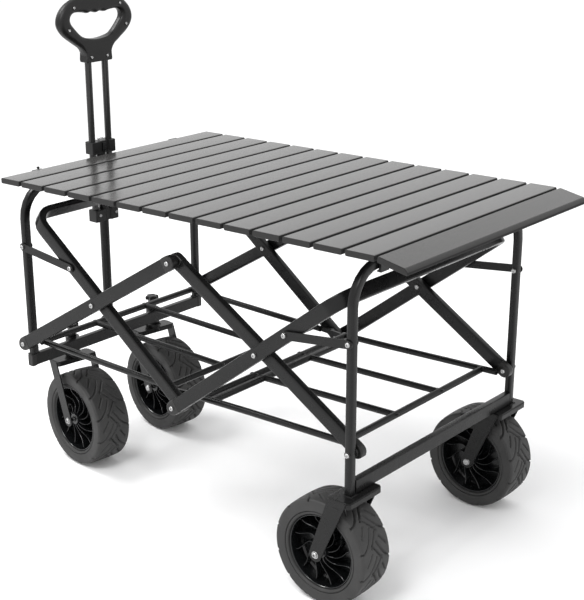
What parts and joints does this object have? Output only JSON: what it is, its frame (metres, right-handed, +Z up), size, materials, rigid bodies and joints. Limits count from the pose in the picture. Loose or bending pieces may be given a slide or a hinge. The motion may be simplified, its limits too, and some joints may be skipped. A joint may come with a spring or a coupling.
{
  "type": "folding camp wagon",
  "caption": "Folding camp wagon: steel scissor frame on all-terrain wheels, swivel casters, telescoping pull handle, wire bed and slatted roll-up table top.",
  "frame": {"origin": "on the ground, under the middle of the whole wagon's footprint", "axes": "+X towards the rear, away from the pull handle; +Y towards the far side; +Z up"},
  "size_m": [1.0025, 0.5696, 0.9325],
  "materials": {
    "frame_coat": "satin black powder coat",
    "slat_coat": "dark grey satin coat",
    "black_plastic": "fine moulded grain",
    "button_silver": "silver lacquer",
    "grip_rubber": "soft matt",
    "tyre_rubber": "grooved all-terrain tread",
    "rim_gloss": "gloss black moulding",
    "zinc_steel": "bright zinc"
  },
  "bodies": {
    "front_frame": {"front_arch": "frame_coat", "front_cross_tube": "frame_coat"},
    "front_arms": {"front_arm_near": "frame_coat", "front_arm_far": "frame_coat"},
    "rear_arms": {"rear_arm_near": "frame_coat", "rear_arm_far": "frame_coat"},
    "front_u": {"front_u_frame": "frame_coat"},
    "rear_u": {"rear_u_frame": "frame_coat"},
    "rear_frame": {"rear_arch": "frame_coat", "rear_cross_tube": "frame_coat", "rear_fork_near": "frame_coat", "rear_fork_far": "frame_coat", "axle_bolt_rear_near": "zinc_steel", "axle_bolt_rear_far": "zinc_steel"},
    "front_links": {"front_link_near": "frame_coat", "front_link_far": "frame_coat"},
    "rear_links": {"rear_link_near": "frame_coat", "rear_link_far": "frame_coat"},
    "bed_front": {"bed_grid_front": "frame_coat"},
    "bed_rear": {"bed_grid_rear": "frame_coat"},
    "handle_base": {"handle_column": "frame_coat", "handle_collar": "black_plastic"},
    "handle_slide": {"handle_tube_near": "frame_coat", "handle_tube_far": "frame_coat", "handle_slider": "black_plastic", "handle_grip": "grip_rubber"},
    "handle_button": {"release_button": "button_silver"},
    "table": {"slat_01": "slat_coat", "slat_02": "slat_coat", "slat_03": "slat_coat", "slat_04": "slat_coat", "slat_05": "slat_coat", "slat_06": "slat_coat", "slat_07": "slat_coat", "slat_08": "slat_coat", "slat_09": "slat_coat", "slat_10": "slat_coat", "slat_11": "slat_coat", "slat_12": "slat_coat", "slat_13": "slat_coat", "slat_14": "slat_coat", "front_clip_near": "black_plastic", "front_clip_far": "black_plastic", "rear_clip_near": "black_plastic", "rear_clip_far": "black_plastic"},
    "end_slat": {"slat_15": "slat_coat"},
    "caster_near": {"caster_fork_near": "frame_coat", "caster_nut_near": "black_plastic", "axle_bolt_front_near": "zinc_steel"},
    "wheel_front_near": {"tyre_front_near": "tyre_rubber", "rim_front_near": "rim_gloss"},
    "wheel_rear_near": {"tyre_rear_near": "tyre_rubber", "rim_rear_near": "rim_gloss"},
    "caster_far": {"caster_fork_far": "frame_coat", "caster_nut_far": "black_plastic", "axle_bolt_front_far": "zinc_steel"},
    "wheel_front_far": {"tyre_front_far": "tyre_rubber", "rim_front_far": "rim_gloss"},
    "wheel_rear_far": {"tyre_rear_far": "tyre_rubber", "rim_rear_far": "rim_gloss"}
  },
  "joints": [
    {"name": "frame_fold", "type": "hinge", "parent": "front_frame", "child": "front_arms", "pos_m": [-0.4213, 0, 0.2873], "axis": [0, -1, 0], "range_deg": [0, 46.5]},
    {"name": "peak_pivot", "type": "hinge", "parent": "front_arms", "child": "rear_arms", "pos_m": [-0.0208, 0, 0.53273], "axis": [0, 1, 0], "range_deg": [0, 93.1]},
    {"name": "rear_foot_pivot", "type": "hinge", "parent": "rear_arms", "child": "rear_frame", "pos_m": [0.3797, 0, 0.2873], "axis": [0, -1, 0], "range_deg": [0, 46.6]},
    {"name": "front_cross_pivot", "type": "hinge", "parent": "front_arms", "child": "front_u", "pos_m": [-0.2188, 0, 0.41139], "axis": [0, 1, 0], "range_deg": [0, 88.1]},
    {"name": "rear_cross_pivot", "type": "hinge", "parent": "rear_arms", "child": "rear_u", "pos_m": [0.1772, 0, 0.41139], "axis": [0, -1, 0], "range_deg": [0, 88.1]},
    {"name": "front_link_pivot", "type": "hinge", "parent": "front_frame", "child": "front_links", "pos_m": [-0.4213, 0, 0.4811], "axis": [0, -1, 0], "range_deg": [0, 82.6]},
    {"name": "rear_link_pivot", "type": "hinge", "parent": "rear_frame", "child": "rear_links", "pos_m": [0.3797, 0, 0.4811], "axis": [0, 1, 0], "range_deg": [0, 82.6]},
    {"name": "bed_front_hinge", "type": "hinge", "parent": "front_frame", "child": "bed_front", "pos_m": [-0.4148, 0, 0.282], "axis": [0, -1, 0], "range_deg": [0, 81.1]},
    {"name": "bed_middle_hinge", "type": "hinge", "parent": "bed_front", "child": "bed_rear", "pos_m": [-0.0208, 0, 0.2745], "axis": [0, 1, 0], "range_deg": [0, 155.6]},
    {"name": "table_lift", "type": "slide", "parent": "front_frame", "child": "table", "axis": [0, 0, 1], "range_m": [0, 0.212]},
    {"name": "end_slat_hinge", "type": "hinge", "parent": "table", "child": "end_slat", "pos_m": [0.4414, 0, 0.6385], "axis": [0, 1, 0], "range_deg": [-11.5, 30]},
    {"name": "caster_swivel_near", "type": "hinge", "parent": "front_frame", "child": "caster_near", "pos_m": [-0.4408, -0.1145, 0.217], "axis": [0, 0, 1], "continuous": true},
    {"name": "front_wheel_spin_near", "type": "hinge", "parent": "caster_near", "child": "wheel_front_near", "pos_m": [-0.40119, -0.12007, 0.097], "axis": [0.1392, 0.9903, 0], "continuous": true},
    {"name": "rear_wheel_spin_near", "type": "hinge", "parent": "rear_frame", "child": "wheel_rear_near", "pos_m": [0.3317, -0.234, 0.097], "axis": [0, 1, 0], "continuous": true},
    {"name": "caster_swivel_far", "type": "hinge", "parent": "front_frame", "child": "caster_far", "pos_m": [-0.4408, 0.1145, 0.217], "axis": [0, 0, 1], "continuous": true},
    {"name": "front_wheel_spin_far", "type": "hinge", "parent": "caster_far", "child": "wheel_front_far", "pos_m": [-0.40119, 0.10893, 0.097], "axis": [0.1392, 0.9903, 0], "continuous": true},
    {"name": "rear_wheel_spin_far", "type": "hinge", "parent": "rear_frame", "child": "wheel_rear_far", "pos_m": [0.3317, 0.234, 0.097], "axis": [0, 1, 0], "continuous": true},
    {"name": "handle_tilt", "type": "hinge", "parent": "front_frame", "child": "handle_base", "pos_m": [-0.4538, 0, 0.2625], "axis": [0, -1, 0], "range_deg": [0, 90]},
    {"name": "handle_telescope", "type": "slide", "parent": "handle_base", "child": "handle_slide", "axis": [0, 0, 1], "range_m": [-0.14, 0.11]},
    {"name": "button_press", "type": "slide", "parent": "handle_base", "child": "handle_button", "axis": [0, 0, -1], "range_m": [0, 0.003], "stiffness_N_per_m": 500, "springref_m": -0.002}
  ],
  "couplings": [
    {"joint": "peak_pivot", "follows": "frame_fold", "ratio": 2},
    {"joint": "rear_foot_pivot", "follows": "frame_fold", "ratio": 1},
    {"joint": "front_cross_pivot", "follows": "frame_fold", "ratio": 1.8913},
    {"joint": "rear_cross_pivot", "follows": "frame_fold", "ratio": 1.8913},
    {"joint": "front_link_pivot", "follows": "frame_fold", "ratio": 1.7734},
    {"joint": "rear_link_pivot", "follows": "frame_fold", "ratio": 1.7734},
    {"joint": "bed_front_hinge", "follows": "frame_fold", "ratio": 1.74},
    {"joint": "bed_middle_hinge", "follows": "frame_fold", "ratio": 3.3428},
    {"joint": "table_lift", "follows": "frame_fold", "m_per_rad": 0.26}
  ]
}
